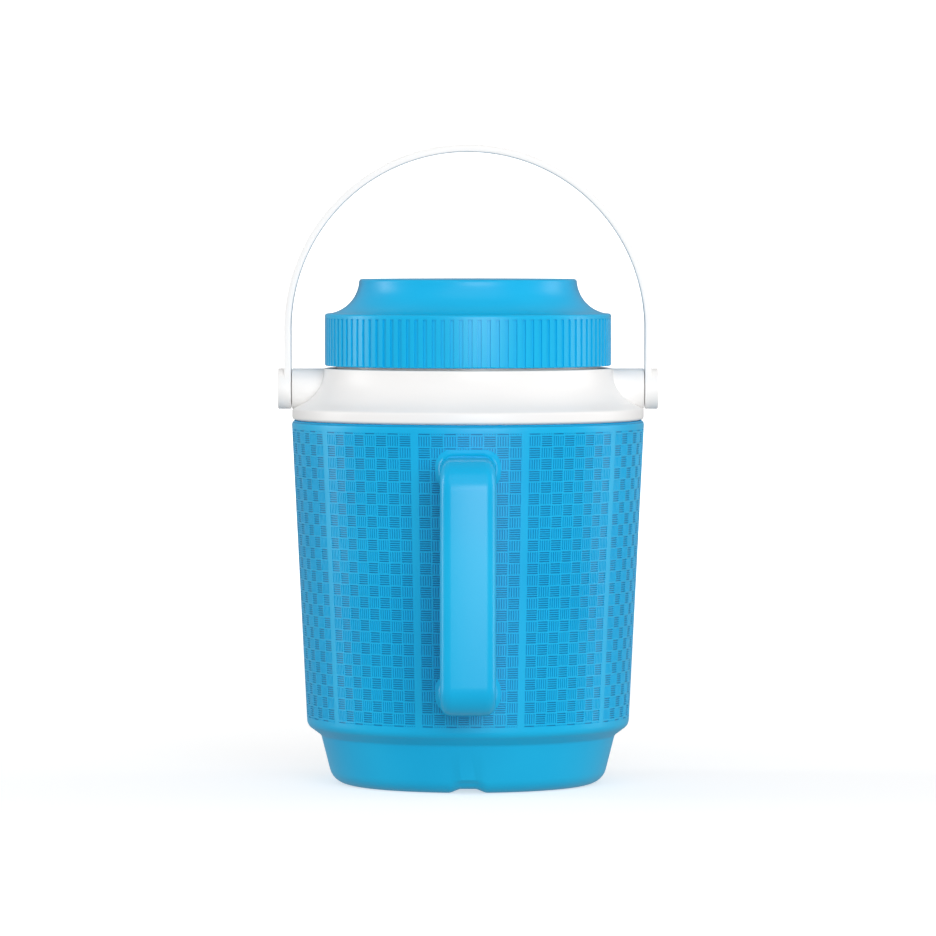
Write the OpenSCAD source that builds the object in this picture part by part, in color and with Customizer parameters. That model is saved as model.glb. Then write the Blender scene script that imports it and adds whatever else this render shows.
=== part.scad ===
// Insulated drinks jug of about one gallon: foam-filled body, screw lid, side handle and
// a swinging carry handle. The origin is on the jug's axis, in the plane that it stands on.
// +Z is up, the carry handle turns about X, and the side handle is on the -Y side.

/* [Body] */
// Greatest radius of the outer shell, at its top
body_r = 95; // [90:1:100]
// Height of the top edge of the outer shell
body_top = 196.4; // [190:0.2:200]
// Loss of radius per millimetre of height, downwards
body_draft = 0.0504; // [0.04:0.001:0.06]
// Height where the body steps in to the foot
step_z = 31.7; // [28:0.1:36]
// Radius of the step's inner crease, where the foot begins
crease_r = 79.5; // [76:0.1:82]
// Height of the crease
crease_z = 26.2; // [22:0.1:27]
// Radius of the foot where its sides would meet the ground
foot_r = 72.8; // [70:0.1:76]
// Rounding between the foot's side and its flat face
foot_round = 10; // [6:0.5:11]
// Wall thickness of the outer shell
shell_wall = 2; // [1.6:0.1:2.6]
// Width of the notches in the foot's edge
notch_w = 20; // [14:1:26]
// Height of the notches
notch_h = 2.2; // [1.4:0.1:2.6]

/* [Vessel] */
// Greatest radius of the white inner vessel
vessel_r = 79; // [74:0.5:80]
// Wall thickness of the vessel
vessel_wall = 2.2; // [1.8:0.1:2.6]
// Underside of the vessel
vessel_base = 18; // [16:0.5:24]
// Outer radius of the neck, without its thread
neck_r = 71.4; // [70:0.1:71.6]
// Height of the neck's rim
neck_top = 246; // [242:0.5:248]
// Rise of the screw thread in one turn
thread_lead = 6; // [5:0.5:7]

/* [Collar and carry handle] */
// Height of the collar's flat top
collar_top = 224.3; // [223:0.1:226]
// Radius of the collar's upper edge
collar_r = 78.1; // [77:0.1:79]
// Height of the carry handle's axis
pivot_z = 213.2; // [212:0.1:214]
// Radius of the bosses and of the handle's hubs
hub_r = 11; // [9:0.1:11]
// Half the distance between the inner faces of the hubs
hub_in = 95.4; // [95.4:0.1:98]
// Thickness of each hub
hub_w = 7.2; // [6.5:0.1:9]
// Radius of the pivot pins
pin_r = 4; // [3:0.1:5]
// Width of the handle's flat strap
strap_w = 19; // [15:0.5:20]
// Thickness of the strap's legs
strap_t = 3.7; // [3:0.1:4.4]
// Thickness of the strap where the hand holds it
grip_t = 4.5; // [4:0.1:6]
// Half the length of that thicker stretch
grip_half = 45; // [35:1:55]
// Height of the centre of the handle's arch
arch_z = 245.5; // [240:0.5:255]

/* [Side handle] */
// Width of the grip
side_w = 29.2; // [24:0.2:32]
// Thickness of the grip
side_t = 15; // [13:0.5:17]
// Lowest point of the handle
side_low = 45.6; // [40:0.2:50]
// Highest point of the handle
side_high = 179.4; // [170:0.5:184]
// Distance of the grip's outer face from the jug's axis
side_reach = 140; // [134:1:148]
// Rounding of the grip's edges
side_round = 6; // [4:0.5:6.5]
// Radius of the handle's outer bends
side_bend = 16; // [12:0.5:22]
// Radius of the side handle's inner bends, where the fingers lie
side_inner = 8; // [4:0.5:12]
// Width of the flared roots
root_w = 34; // [31:0.5:38]

/* [Lid] */
// Height of the lid's flat top
lid_top = 272.4; // [268:0.1:276]
// Radius of the lid's crown
crown_r = 58.8; // [54:0.1:60]
// Radius of the lid's skirt
skirt_r = 77.3; // [77:0.1:78]
// Height of the skirt's upper edge
skirt_top = 253.8; // [253:0.1:255]
// Underside of the skirt
skirt_low = 225.6; // [225:0.1:227]
// Wall thickness of the lid
lid_wall = 2.4; // [2:0.1:2.6]

/* [Hidden] */
$fn = 96;

eps = 0.1;                 // gap between pieces that lie against each other in one body
arc_steps = 8;             // straight steps in a rounded corner of an outline

floor_z = 5;               // top of the outer shell's floor
recess_r = 54;             // radius of the shallow recess under the foot
recess_h = 2.6;            // its height
plug_r = 10;               // radius of the foam-filling hole
plug_flange_r = 13;        // radius of its plug's flange
plug_flange_t = 1.4;       // thickness of that flange

spigot_r = 92.4;           // outer radius of the collar's rim inside the shell
spigot_wall = 2;           // its thickness
spigot_low = 188.4;        // its lower edge
band_low = 196.7;          // lower edge of the collar's band, just above the shell
band_high = 202.5;         // upper edge of the band
cove_r = 21.8;             // radius of the collar's hollow flank
collar_wall = 2.4;         // thickness of the collar
ledge_r = 73.8;            // radius of the vessel's ledge under the collar
ledge_z = collar_top - collar_wall - eps;
shoulder_z = 190;          // height where the vessel's shoulder begins
boss_face = 95;            // distance of the bosses' faces from the jug's axis

thread_h = 2.2;            // height of a thread's root
thread_tip = 1.2;          // height of its crest
neck_thread_r = 73.4;      // crest radius of the neck's thread
lid_thread_r = 72;         // crest radius of the lid's thread
lid_bore_r = 74.2;         // radius of the lid's threaded wall
thread_turns = 2;          // turns of each thread
thread_side = 48;          // straight steps in a turn of the thread
neck_thread_z = 229.2;     // height where the neck's thread begins
lid_thread_z = neck_thread_z + thread_lead / 2; // halfway between two of its turns

pin_in = 84;               // inner end of the pivot pins
pin_out = 100.6;           // outer end of the pivot pins
pin_bead = 0.5;            // how far the pin's snap bead stands proud
bead_in = 98;              // inner side of the bead
bead_w = 1.2;              // width of the bead
run_gap = 0.06;            // radial running clearance of the pins

screw_r = 2;               // radius of the handle's screws
screw_zs = [56, 168];      // heights of the two screws
screw_head_r = 4.5;
screw_head_h = 2.2;
screw_reach = 20;          // length of screw beyond the shell's outer face

lid_cove_r = 18.7;         // radius of the lid's hollow flank
seal_t = 1.9;              // thickness of the seal ring
seal_gap = 0.3;            // space left between the seal and the neck's rim
liner_flange = 2;          // thickness of the lid liner's flange
plug_side_r = 66.4;        // radius of the lid liner's plug
plug_low = 236;            // underside of that plug
dish_wall = 2;             // thickness of the liner's dish
dish_round = 2;            // rounding inside the dish
seal_z = neck_top + seal_gap;
flange_z = seal_z + seal_t + eps;

function shell_r(z) = body_r - (191.5 - z) * body_draft;

function unit(v) = v / norm(v);

// The points of one rounded corner. Each corner is [radius, height, rounding].
function corner(before, at, after) =
    let (
        p = [at[0], at[1]],
        u = unit([before[0], before[1]] - p),
        v = unit([after[0], after[1]] - p),
        half = acos(u * v) / 2,
        a = p + u * at[2] / tan(half),
        b = p + v * at[2] / tan(half),
        c = p + unit(u + v) * at[2] / sin(half),
        from = atan2(a[1] - c[1], a[0] - c[0]),
        turn = atan2(b[1] - c[1], b[0] - c[0]) - from,
        sweep = turn > 180 ? turn - 360 : turn < -180 ? turn + 360 : turn
    )
    [for (i = [0:arc_steps]) c + at[2] * [cos(from + sweep * i / arc_steps),
                                          sin(from + sweep * i / arc_steps)]];

// An outline whose corners are rounded wherever their third value isn't 0.
function rounded(corners) =
    let (n = len(corners))
    [for (i = [0:n - 1])
        each corners[i][2] == 0
            ? [[corners[i][0], corners[i][1]]]
            : corner(corners[(i + n - 1) % n], corners[i], corners[(i + 1) % n])];

// Points of an arc, as corners with no rounding.
function arc(c, r, from, to, steps) =
    [for (i = [0:steps])
        let (a = from + (to - from) * i / steps) [c[0] + r * cos(a), c[1] + r * sin(a), 0]];

// The body's outline from the foot up to its straight side, moved inwards by a wall.
function body_side(wall, low) =
    let (slope = (crease_r - foot_r) / crease_z)
    [
        [foot_r + slope * low - wall, low, low > 0 ? foot_round - wall : foot_round],
        [crease_r - wall, crease_z + wall / 2, 3],
        [shell_r(step_z) - wall, step_z + wall / 3, 5]
    ];

module solid_body(wall, low, high) {
    rotate_extrude($fn = 180)
        polygon(rounded(concat(
            [[0, low, 0]],
            body_side(wall, low),
            [[shell_r(high) - wall, high, wall > 0 ? 0 : 2.4], [0, high, 0]])));
}

// A ridge with a flat crest that climbs as a screw. Its root lies inside the wall it grows from.
module thread(root_r, crest_r, start_z) {
    count = thread_turns * thread_side;
    points = [for (i = [0:count])
        let (a = 360 * i / thread_side, z = start_z + thread_lead * i / thread_side)
        each [
            [root_r * cos(a), root_r * sin(a), z - thread_h / 2],
            [crest_r * cos(a), crest_r * sin(a), z - thread_tip / 2],
            [crest_r * cos(a), crest_r * sin(a), z + thread_tip / 2],
            [root_r * cos(a), root_r * sin(a), z + thread_h / 2]
        ]];
    sides = [for (i = [0:count - 1], k = [0:3])
        let (m = (k + 1) % 4)
        each [[4 * i + k, 4 * i + 4 + k, 4 * i + 4 + m], [4 * i + k, 4 * i + 4 + m, 4 * i + m]]];
    last = 4 * count;
    caps = [[0, 1, 2], [0, 2, 3],
            [last, last + 2, last + 1], [last, last + 3, last + 2]];
    flip = crest_r < root_r;
    faces = concat(sides, caps);
    polyhedron(points, flip ? faces : [for (f = faces) [f[0], f[2], f[1]]]);
}

// The two notches in the foot's edge, one under the side handle and one opposite.
module notches() {
    ramp = 6;
    rotate([90, 0, 0])
        linear_extrude(2 * body_r, center = true)
            polygon([[-notch_w / 2 - ramp / 2, -1], [-notch_w / 2 - ramp / 2, 0],
                     [-notch_w / 2 + ramp / 2, notch_h], [notch_w / 2 - ramp / 2, notch_h],
                     [notch_w / 2 + ramp / 2, 0], [notch_w / 2 + ramp / 2, -1]]);
}

module outer_shell() {
    color([0.13, 0.67, 0.91])
        difference() {
            solid_body(0, 0, body_top);
            solid_body(shell_wall, floor_z, body_top + 1);
            translate([0, 0, -1]) cylinder(h = recess_h + 1, r = recess_r);
            cylinder(h = floor_z + 1, r = plug_r + eps);
            notches();
            screws(screw_r + 0.2, 0, 0);
        }
}

// Both screws of the side handle, which point outwards along -Y from inside the shell.
module screws(r, head_r, head_h) {
    for (z = screw_zs) {
        seat = shell_r(z) - shell_wall - eps;
        translate([0, -seat + 0.4, z])
            rotate([90, 0, 0]) {
                cylinder(h = screw_reach + shell_wall, r = r, $fn = 32);
                if (head_r > 0)
                    translate([0, 0, -head_h]) cylinder(h = head_h, r = head_r, $fn = 32);
            }
    }
}

module handle_screws() {
    color("silver") screws(screw_r, screw_head_r, screw_head_h);
}

// The handle's side view before its edges are rounded: a C that opens towards the jug.
module side_core() {
    inset = side_round;
    thin = side_t - 2 * inset;
    outer = side_bend - inset;
    inner = side_inner + inset;
    low = side_low + inset;
    high = side_high - inset;
    far = -side_reach + inset;
    root_y = -shell_r(side_low) + 16;
    difference() {
        polygon([for (p = rounded([
            [root_y, low, 0], [root_y, high, 0], [far, high, outer], [far, low, outer]])) p]);
        polygon([for (p = rounded([
            [root_y + 1, low + thin, 0], [root_y + 1, high - thin, 0],
            [far + thin, high - thin, inner], [far + thin, low + thin, inner]])) p]);
    }
}

// A rounded pad where an end of the handle meets the shell.
module root_pad(z) {
    tall = 21;
    corner_r = 8.5;
    hull() {
        for (x = [-1, 1], h = [-1, 1])
            translate([x * (root_w / 2 - corner_r), -shell_r(z) + 8, z + h * (tall / 2 - corner_r)])
                rotate([90, 0, 0]) cylinder(h = 8.4, r = corner_r, $fn = 32);
        for (x = [-1, 1], h = [-1, 1])
            translate([x * (side_w / 2 - corner_r), -shell_r(z) + 8,
                       z + h * (side_t / 2 - corner_r + 1)])
                rotate([90, 0, 0]) cylinder(h = 12.5, r = corner_r - 1.5, $fn = 32);
    }
}

module side_handle() {
    color([0.13, 0.67, 0.91])
        difference() {
            union() {
                minkowski() {
                    rotate([90, 0, 90])
                        linear_extrude(side_w - 2 * side_round, center = true) side_core();
                    sphere(r = side_round, $fn = 24);
                }
                root_pad(side_low + side_t / 2 + 1.5);
                root_pad(side_high - side_t / 2 - 0.5);
            }
            solid_body(-eps, 0, body_top + 10);
            screws(screw_r + 0.05, 0, 0);
        }
}

module fill_plug() {
    color([0.1, 0.55, 0.8]) {
        translate([0, 0, recess_h - plug_flange_t])
            cylinder(h = plug_flange_t - eps, r = plug_flange_r);
        translate([0, 0, recess_h - plug_flange_t])
            cylinder(h = floor_z + plug_flange_t - recess_h + 1.5, r = plug_r);
    }
}

function vessel_outline(wall) =
    [
        [vessel_r - 6 - wall, vessel_base + wall, 10 - wall],
        [vessel_r - wall, shoulder_z, 8],
        [ledge_r - wall, shoulder_z + 12, 4]
    ];

module vessel_solid() {
    rotate_extrude($fn = 180)
        polygon(rounded(concat(
            [[0, vessel_base, 0]],
            vessel_outline(0),
            [[ledge_r, ledge_z, 0], [neck_r, ledge_z, 0], [neck_r, neck_top, 0.6], [0, neck_top, 0]])));
}

module vessel_space() {
    mouth_r = neck_r - 2.8;
    rotate_extrude($fn = 180)
        polygon(rounded(concat(
            [[0, vessel_base + vessel_wall, 0]],
            vessel_outline(vessel_wall),
            [[ledge_r - vessel_wall, ledge_z - 4, 2], [mouth_r, ledge_z - 1, 2],
             [mouth_r, neck_top + 1, 0], [0, neck_top + 1, 0]])));
}

module inner_vessel() {
    color("white")
        difference() {
            union() {
                vessel_solid();
                thread(neck_r - 0.6, neck_thread_r, neck_thread_z);
            }
            vessel_space();
        }
}

module foam_jacket() {
    color([0.95, 0.9, 0.7])
        difference() {
            solid_body(shell_wall + eps, floor_z + eps, body_top - 0.4);
            vessel_envelope();
            translate([0, 0, spigot_low - 0.4])
                ring(spigot_r + 5, spigot_r - spigot_wall - 0.3, 20);
            cylinder(h = floor_z + 3.5, r = plug_r + 0.4);
            screws(screw_r + 0.4, screw_head_r + 0.4, screw_head_h + 0.4);
        }
}

// The vessel's outside, a hair larger all round, which the foam is moulded to.
module vessel_envelope() {
    rotate_extrude($fn = 180)
        polygon(rounded(concat(
            [[0, vessel_base - eps, 0]],
            vessel_outline(-eps),
            [[ledge_r + eps, ledge_z + 10, 0], [0, ledge_z + 10, 0]])));
}

module ring(outer, inner, h) {
    difference() {
        cylinder(h = h, r = outer);
        translate([0, 0, -1]) cylinder(h = h + 2, r = inner);
    }
}

module collar_outside() {
    c = [collar_r + cove_r, collar_top];
    rotate_extrude($fn = 180)
        polygon(rounded(concat(
            [[0, band_low, 0], [boss_face, band_low, 1.6], [boss_face, band_high, 1.2]],
            arc(c, cove_r, 246, 182, 20),
            [[collar_r, collar_top, 0], [0, collar_top, 0]])));
}

// The hollow underside of the collar, one wall inside its outer surface.
module collar_inside() {
    c = [collar_r + cove_r, collar_top];
    wide = boss_face - collar_wall - 2;
    rotate_extrude($fn = 180)
        polygon(rounded(concat(
            [[0, band_low - 20, 0], [wide, band_low - 20, 0], [wide, band_high - 3.6, 1]],
            arc(c, cove_r + collar_wall, 241, 188, 16),
            [[0, collar_top - collar_wall, 0]])));
}

module bosses() {
    for (s = [-1, 1])
        translate([s * (ledge_r + 0.4), 0, pivot_z])
            rotate([0, s * 90, 0])
                cylinder(h = boss_face - ledge_r - 0.4, r = hub_r);
}

module collar() {
    color("white")
        difference() {
            union() {
                difference() {
                    union() {
                        collar_outside();
                        translate([0, 0, spigot_low])
                            cylinder(h = band_high - spigot_low - 2, r = spigot_r);
                    }
                    collar_inside();
                }
                bosses();
            }
            translate([0, 0, ledge_z - 60]) cylinder(h = 60 + eps / 2, r = ledge_r + 0.4);
            cylinder(h = collar_top + 1, r = neck_r + 0.3);
            for (s = [-1, 1]) pin_bar(s, pin_in - 1, boss_face + 1, pin_r + 0.02);
        }
}

module pin_bar(side, from, to, r) {
    translate([side * from, 0, pivot_z])
        rotate([0, side * 90, 0]) cylinder(h = to - from, r = r);
}

module pivot_pin(side) {
    color("whitesmoke") {
        pin_bar(side, pin_in, pin_out, pin_r);
        pin_bar(side, bead_in, bead_in + bead_w, pin_r + pin_bead);
    }
}

module pivot_pin_left() {
    pivot_pin(-1);
}

module pivot_pin_right() {
    pivot_pin(1);
}

// One half of an arch, seen along Y, between two radii.
module arch(inner, outer) {
    translate([0, arch_z])
        intersection() {
            difference() {
                circle(r = outer, $fn = 180);
                circle(r = inner, $fn = 180);
            }
            translate([-2 * outer, 0]) square([4 * outer, 2 * outer]);
        }
}

module carry_handle() {
    color("white")
        difference() {
            union() {
                rotate([90, 0, 0])
                    linear_extrude(strap_w, center = true) {
                        arch(hub_in, hub_in + strap_t);
                        intersection() {
                            arch(hub_in, hub_in + grip_t);
                            translate([-grip_half, arch_z]) square([2 * grip_half, 2 * hub_in]);
                        }
                        for (s = [-1, 1])
                            translate([s * (hub_in + strap_t / 2) - strap_t / 2, pivot_z])
                                square([strap_t, arch_z - pivot_z]);
                    }
                for (s = [-1, 1]) pin_bar(s, hub_in, hub_in + hub_w, hub_r);
            }
            for (s = [-1, 1]) {
                pin_bar(s, hub_in - 1, pin_out + 0.3, pin_r + run_gap);
                pin_bar(s, bead_in - 0.15, bead_in + bead_w + 0.15, pin_r + pin_bead + run_gap);
            }
        }
}

module lid_outside() {
    c = [crown_r + lid_cove_r, lid_top];
    rotate_extrude($fn = 180)
        polygon(rounded(concat(
            [[0, skirt_low, 0], [skirt_r, skirt_low, 0.8], [skirt_r, skirt_top, 1.3]],
            arc(c, lid_cove_r, 262, 186, 24),
            [[crown_r, lid_top, 1.6], [0, lid_top, 0]])));
}

// The space inside the lid, one wall below its outer surface, drawn in by a gap.
module lid_inside(gap) {
    c = [crown_r + lid_cove_r, lid_top];
    ceiling = skirt_top - lid_wall;
    rotate_extrude($fn = 180)
        polygon(rounded(concat(
            [[0, skirt_low - 1, 0], [lid_bore_r - gap, skirt_low - 1, 0], [lid_bore_r - gap, ceiling - gap, 0]],
            arc(c, lid_cove_r + lid_wall + gap, 258, 188, 24),
            [[crown_r - lid_wall - gap, lid_top - lid_wall - gap, 0], [0, lid_top - lid_wall - gap, 0]])));
}

module lid_shell() {
    color([0.13, 0.67, 0.91]) {
        difference() {
            lid_outside();
            lid_inside(0);
        }
        thread(lid_bore_r + 0.6, lid_thread_r, lid_thread_z);
    }
}

// The white dish that closes the lid's underside and hangs into the neck as a plug.
module lid_liner() {
    color("white")
        rotate_extrude($fn = 180)
            polygon(rounded([
                [0, plug_low, 0], [plug_side_r, plug_low, 4], [plug_side_r, flange_z, 0],
                [lid_bore_r - eps, flange_z, 0], [lid_bore_r - eps, flange_z + liner_flange, 0],
                [plug_side_r - dish_wall, flange_z + liner_flange, 0],
                [plug_side_r - dish_wall, plug_low + dish_wall, dish_round], [0, plug_low + dish_wall, 0]]));
}

module lid_foam() {
    dish_r = plug_side_r - dish_wall - eps;
    color([0.95, 0.9, 0.7])
        intersection() {
            lid_inside(eps);
            rotate_extrude($fn = 180)
                polygon(rounded([
                    [0, plug_low + dish_wall + eps, 0],
                    [dish_r, plug_low + dish_wall + eps, dish_round - eps],
                    [dish_r, flange_z + liner_flange + eps, 0],
                    [lid_bore_r, flange_z + liner_flange + eps, 0],
                    [lid_bore_r, lid_top, 0], [0, lid_top, 0]]));
        }
}

module lid_seal() {
    color([0.9, 0.9, 0.88])
        translate([0, 0, seal_z])
            ring(neck_r + 0.4, plug_side_r + 0.4, seal_t);
}

outer_shell();
side_handle();
handle_screws();
fill_plug();
foam_jacket();
inner_vessel();
collar();
pivot_pin_left();
pivot_pin_right();
carry_handle();
lid_shell();
lid_liner();
lid_foam();
lid_seal();
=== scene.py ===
# %% [markdown]
# # An insulated drinks jug
#
# The real jug is a blue plastic shell with a basket weave pressed into it, filled with foam
# around a white vessel. A white collar closes the top and carries a strap handle on two pins.
# A screw lid with a ribbed skirt sits above it, and a second handle stands on the side.
#
# The working model is loaded first, as a fixed frame. It decides where everything is. The
# pieces that show are then made again with finer shapes, at the same places.

# %% Load the frame
import math

import bmesh
import bpy
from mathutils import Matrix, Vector


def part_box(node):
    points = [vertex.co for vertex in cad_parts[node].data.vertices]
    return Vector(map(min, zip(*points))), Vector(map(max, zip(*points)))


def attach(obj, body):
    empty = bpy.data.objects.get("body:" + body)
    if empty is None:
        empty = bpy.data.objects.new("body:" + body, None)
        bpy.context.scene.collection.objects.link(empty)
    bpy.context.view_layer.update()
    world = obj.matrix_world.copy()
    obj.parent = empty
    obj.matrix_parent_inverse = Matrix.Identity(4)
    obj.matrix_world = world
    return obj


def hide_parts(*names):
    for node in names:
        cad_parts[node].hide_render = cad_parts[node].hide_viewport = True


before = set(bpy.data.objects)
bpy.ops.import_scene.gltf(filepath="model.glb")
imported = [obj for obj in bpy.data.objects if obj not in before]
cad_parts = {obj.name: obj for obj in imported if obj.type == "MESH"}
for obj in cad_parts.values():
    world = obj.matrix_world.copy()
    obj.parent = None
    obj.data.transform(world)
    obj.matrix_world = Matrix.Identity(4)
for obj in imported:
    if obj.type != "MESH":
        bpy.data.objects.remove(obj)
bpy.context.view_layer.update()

# %% [markdown]
# ## Sizes
#
# Blender works in metres here and the jug was designed in millimetres, so lengths below are
# written in millimetres and multiplied by MM. The heights and radii that the pieces share are
# read from the frame, so that a visible piece can't drift away from the model behind it.

# %% Read the shared sizes from the frame
MM = 0.001
TURN = 2 * math.pi


def low(node, axis):
    """The lowest value of a node's box on an axis (0, 1 or 2), in millimetres."""
    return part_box(node)[0][axis] / MM


def high(node, axis):
    """The highest value of a node's box on an axis, in millimetres."""
    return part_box(node)[1][axis] / MM


BODY_TOP = high("outer_shell", 2)
COLLAR_TOP = high("collar", 2)
COLLAR_R = high("collar", 0)
LID_TOP = high("lid_shell", 2)
SKIRT_LOW = low("lid_shell", 2)
SKIRT_R = high("lid_shell", 0)
SIDE_REACH = -low("side_handle", 1)
ARCH_TOP = high("carry_handle", 2)
HUB_OUT = high("carry_handle", 0)
HUB_R = high("carry_handle", 1)
PIVOT_Z = low("carry_handle", 2) + HUB_R

BODY_R = 95.0            # radius of the body's side at the height below
BODY_R_Z = 191.5
BODY_DRAFT = 0.0504      # loss of radius per millimetre downwards


def shell_r(z):
    """Radius of the tapering shell at a height."""
    return BODY_R - (BODY_R_Z - z) * BODY_DRAFT


print("lid top", round(LID_TOP, 1), "collar top", round(COLLAR_TOP, 1), "pivot", round(PIVOT_Z, 1))

# %% [markdown]
# ## The camera
#
# The jug is seen from 3.3 m away through a long lens, from a little above its lid. A long lens
# keeps the sides of the jug almost parallel, which is why it looks so upright. A short lens close
# by would take in as much, but it would make the lid look wider than the foot.

# %% Set the camera
CAMERA_DISTANCE = 3.316
CAMERA_HEIGHT = 0.2964
CAMERA_PITCH = 2.179
LENS = 236.1             # on a sensor 36 mm wide

camera_data = bpy.data.cameras.new("camera")
camera_data.lens = LENS
camera_data.sensor_width = 36
camera_data.clip_end = 100
camera = bpy.data.objects.new("camera", camera_data)
bpy.context.scene.collection.objects.link(camera)
camera.location = (0, -CAMERA_DISTANCE, CAMERA_HEIGHT)
camera.rotation_euler = (math.radians(90 - CAMERA_PITCH), 0, 0)
bpy.context.scene.camera = camera
print("camera", tuple(camera.location))

# %% [markdown]
# ## Helpers for modelling
#
# Every piece starts as a primitive and is shaped in edit mode. An operator acts on all that is
# selected, so `clear_selection` comes before each new primitive, `start` opens it with all of it
# selected, and `pick` then selects faces, edges or points by where they are. Clicking on them by
# hand would do the same once, but a rule still holds when a size changes.

# %% Modelling helpers
def start(name):
    """Names the primitive that was just added and opens it in edit mode."""
    piece = bpy.context.object
    piece.name = name
    piece.data.name = name
    bpy.ops.object.mode_set(mode="EDIT")
    bpy.ops.mesh.select_mode(type="VERT")
    bpy.ops.mesh.select_all(action="SELECT")
    return piece


def clear_selection():
    """Leaves edit mode and deselects every object."""
    if bpy.context.object and bpy.context.object.mode != "OBJECT":
        bpy.ops.object.mode_set(mode="OBJECT")
    bpy.ops.object.select_all(action="DESELECT")


def activate(piece, *others):
    """Selects a piece, and others with it, and makes the first one active."""
    clear_selection()
    for item in (piece, *others):
        item.select_set(True)
    bpy.context.view_layer.objects.active = piece


def pick(piece, kind, test):
    """In edit mode, selects only the VERT, EDGE or FACE items that pass the test."""
    bpy.ops.mesh.select_mode(type=kind)
    bpy.ops.mesh.select_all(action="DESELECT")
    mesh = bmesh.from_edit_mesh(piece.data)
    items = {"VERT": mesh.verts, "EDGE": mesh.edges, "FACE": mesh.faces}[kind]
    for item in items:
        if test(item):
            item.select_set(True)
    mesh.select_flush_mode()
    bmesh.update_edit_mesh(piece.data)


def middle(face):
    """The middle of a face, in millimetres."""
    return face.calc_center_median() / MM


def close_up(piece, gap=0.002):
    """Merges points that meet and turns every face outwards."""
    activate(piece)
    bpy.ops.object.mode_set(mode="EDIT")
    bpy.ops.mesh.select_all(action="SELECT")
    bpy.ops.mesh.remove_doubles(threshold=gap * MM)
    bpy.ops.mesh.normals_make_consistent(inside=False)
    if bmesh.from_edit_mesh(piece.data).calc_volume(signed=True) < 0:
        bpy.ops.mesh.flip_normals()
    bpy.ops.object.mode_set(mode="OBJECT")


def apply_modifier(piece, kind, **settings):
    """Adds one modifier, sets it and applies it."""
    activate(piece)
    modifier = piece.modifiers.new(kind.lower(), kind)
    for key, value in settings.items():
        setattr(modifier, key, value)
    bpy.ops.object.modifier_apply(modifier=modifier.name)


def join(name, pieces):
    """Makes one object of several."""
    activate(*pieces)
    bpy.ops.object.join()
    piece = bpy.context.object
    piece.name = name
    piece.data.name = name
    return piece


def copy_of(piece, offset=(0, 0, 0)):
    """A copy with its own mesh, moved by an offset in millimetres."""
    activate(piece)
    bpy.ops.object.duplicate()
    bpy.ops.transform.translate(value=[c * MM for c in offset])
    bpy.ops.object.transform_apply(location=True, rotation=False, scale=False)
    return bpy.context.object


print("modelling helpers ready")

# %% [markdown]
# ## Helpers for outlines
#
# The collar and the lid are round, and the side handle and the shell follow an outline too. An
# outline is a short list of corners, some with a rounding, and `rounded` puts an arc in place of
# each such corner. `turned` is a lathe: it extrudes one point along a half outline and spins the
# line round the axis. `settle` gives a finished piece its shading, its finish and its body.

# %% Outline helpers
def corner_points(before, at, after, steps):
    """The points of one rounded corner. A corner is (radius, height, rounding)."""
    p = Vector(at[:2])
    u = (Vector(before[:2]) - p).normalized()
    v = (Vector(after[:2]) - p).normalized()
    half = u.angle(v) / 2
    centre = p + (u + v).normalized() * at[2] / math.sin(half)
    first = p + u * at[2] / math.tan(half) - centre
    last = p + v * at[2] / math.tan(half) - centre
    begin = math.atan2(first.y, first.x)
    sweep = math.remainder(math.atan2(last.y, last.x) - begin, TURN)
    return [centre + at[2] * Vector((math.cos(begin + sweep * i / steps),
                                     math.sin(begin + sweep * i / steps)))
            for i in range(steps + 1)]


def rounded(corners, steps):
    """An open outline in which every corner with a third value is an arc of that radius."""
    points = []
    for i, at in enumerate(corners):
        if len(at) == 2:
            points.append(Vector(at))
        else:
            points += corner_points(corners[i - 1], at, corners[(i + 1) % len(corners)], steps)
    return points


def arc(centre, radius, begin, end, steps):
    """Points of an arc between two angles in degrees, as corners without rounding."""
    angles = [math.radians(begin + (end - begin) * i / steps) for i in range(steps + 1)]
    return [(centre[0] + radius * math.cos(angle), centre[1] + radius * math.sin(angle))
            for angle in angles]


def turned(name, outline, steps):
    """Spins a half outline of (radius, height) points about Z. It closes itself where it can."""
    clear_selection()
    bpy.ops.mesh.primitive_plane_add(size=MM)
    piece = start(name)
    bpy.ops.mesh.merge(type="CENTER")
    here = Vector((0, 0))
    bpy.ops.mesh.select_mode(type="VERT")
    for number, point in enumerate(outline):
        step = (Vector(point) - here) * MM
        move = {"value": (step.x, 0, step.y)}
        if number == 0:
            bpy.ops.transform.translate(**move)
        else:
            bpy.ops.mesh.extrude_vertices_move(TRANSFORM_OT_translate=move)
        here = Vector(point)
    bpy.ops.mesh.select_all(action="SELECT")
    bpy.ops.mesh.spin(steps=steps, angle=TURN, center=(0, 0, 0), axis=(0, 0, 1))
    bpy.ops.object.mode_set(mode="OBJECT")
    close_up(piece)
    return piece


def settle(piece, body, slot, material, *nodes, angle=34):
    """Gives a finished piece its shading, finish and body, and hides the nodes it stands for."""
    activate(piece)
    bpy.ops.object.shade_smooth_by_angle(angle=math.radians(angle))
    piece.data.materials.clear()
    piece.data.materials.append(material)
    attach(piece, body)
    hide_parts(*nodes)
    print(piece.name, len(piece.data.vertices), "points")


print("outline helpers ready")

# %% [markdown]
# ## Helpers for finishes
#
# A finish is a small tree of shader nodes. Written out one by one, the nodes of a sum hide what
# it works out, so `Value` wraps a socket and arithmetic on it adds Math nodes. `Finish.node`
# makes every other kind of node. All patterns read Object coordinates, in metres, so they stay
# on the plastic when a part moves.

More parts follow.
